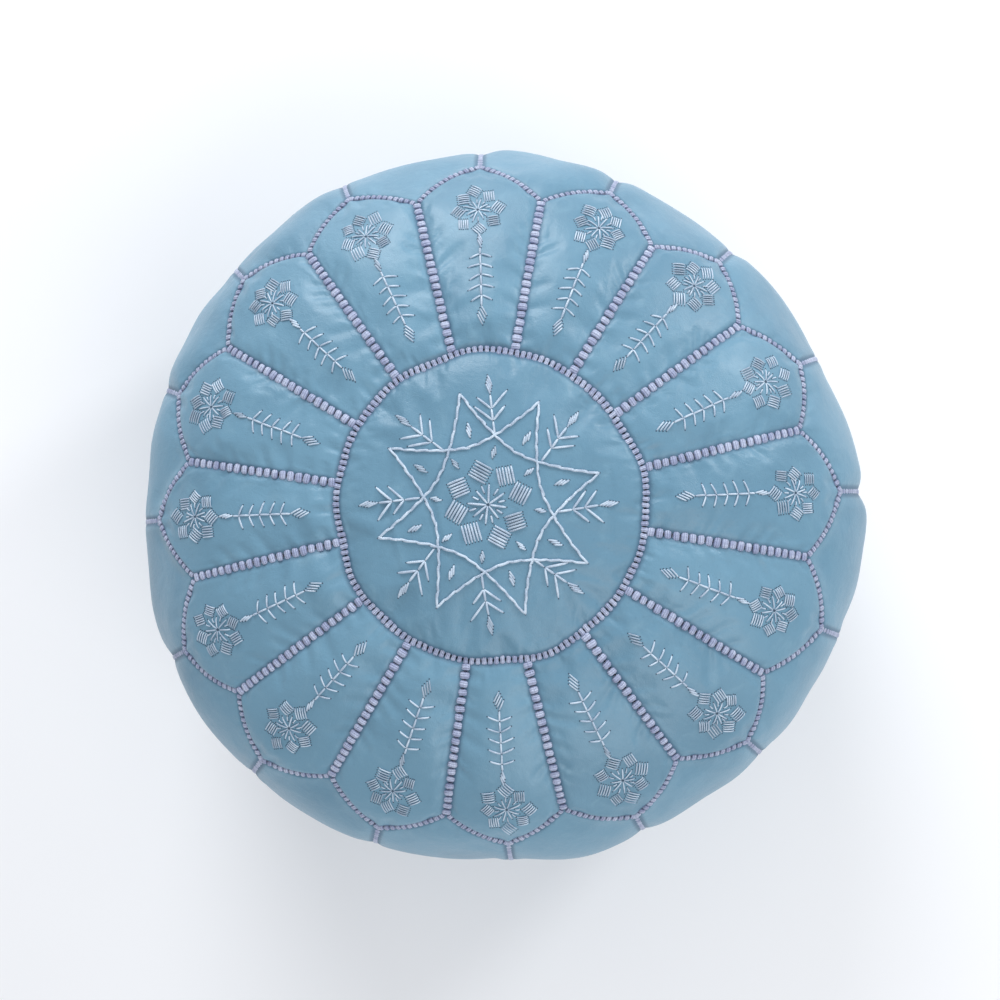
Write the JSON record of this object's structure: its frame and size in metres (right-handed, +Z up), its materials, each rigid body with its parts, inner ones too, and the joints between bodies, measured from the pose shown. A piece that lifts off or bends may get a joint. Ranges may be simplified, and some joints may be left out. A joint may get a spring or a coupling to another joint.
{
  "type": "moroccan leather pouf",
  "caption": "Round stuffed floor seat in blue leather, with an embroidered medallion, petal panels, overcast seams and a zip in the base.",
  "frame": {"origin": "middle of the footprint, on the floor that the pouf stands on", "axes": "+Z up through the middle of the medallion; +X along the middle of a petal and along the zip, towards the end where the slider rests closed"},
  "size_m": [0.5406, 0.5406, 0.331],
  "materials": {
    "blue_leather": "semi-gloss dyed goatskin, mottled",
    "seam_yarn": "thick pale lilac-grey yarn, satin",
    "embroidery_thread": "pale blue-white satin thread",
    "cotton_filling": "matt tufted cotton",
    "zip_cloth": "woven tape, matt",
    "zip_nylon": "moulded coil, satin",
    "zip_metal": "plated, lightly worn"
  },
  "bodies": {
    "pouf": {"top_medallion": "blue_leather", "petal_panel_01": "blue_leather", "petal_panel_02": "blue_leather", "petal_panel_03": "blue_leather", "petal_panel_04": "blue_leather", "petal_panel_05": "blue_leather", "petal_panel_06": "blue_leather", "petal_panel_07": "blue_leather", "petal_panel_08": "blue_leather", "petal_panel_09": "blue_leather", "petal_panel_10": "blue_leather", "petal_panel_11": "blue_leather", "petal_panel_12": "blue_leather", "petal_panel_13": "blue_leather", "petal_panel_14": "blue_leather", "petal_panel_15": "blue_leather", "petal_panel_16": "blue_leather", "side_panel_01": "blue_leather", "side_panel_02": "blue_leather", "side_panel_03": "blue_leather", "side_panel_04": "blue_leather", "side_panel_05": "blue_leather", "side_panel_06": "blue_leather", "side_panel_07": "blue_leather", "side_panel_08": "blue_leather", "side_panel_09": "blue_leather", "side_panel_10": "blue_leather", "side_panel_11": "blue_leather", "side_panel_12": "blue_leather", "side_panel_13": "blue_leather", "side_panel_14": "blue_leather", "side_panel_15": "blue_leather", "side_panel_16": "blue_leather", "base_panel_front": "blue_leather", "base_panel_back": "blue_leather", "top_seam": "seam_yarn", "side_seam": "seam_yarn", "star_embroidery": "embroidery_thread", "cotton_filling": "cotton_filling", "zip_tape_front": "zip_cloth", "zip_tape_back": "zip_cloth", "zip_coil_front": "zip_nylon", "zip_coil_back": "zip_nylon", "zip_end_stop": "zip_metal", "zip_top_stop": "zip_metal"},
    "slider": {"zip_slider": "zip_metal"},
    "pull": {"zip_pull": "zip_metal"}
  },
  "joints": [
    {"name": "zip_slide", "type": "slide", "parent": "pouf", "child": "slider", "axis": [-1, 0, 0], "range_m": [0, 0.315], "deforming": ["zip_coil_front", "zip_coil_back"]},
    {"name": "pull_swing", "type": "hinge", "parent": "slider", "child": "pull", "pos_m": [0.1555, 0, 0.00325], "axis": [0, -1, 0], "range_deg": [0, 170]}
  ]
}
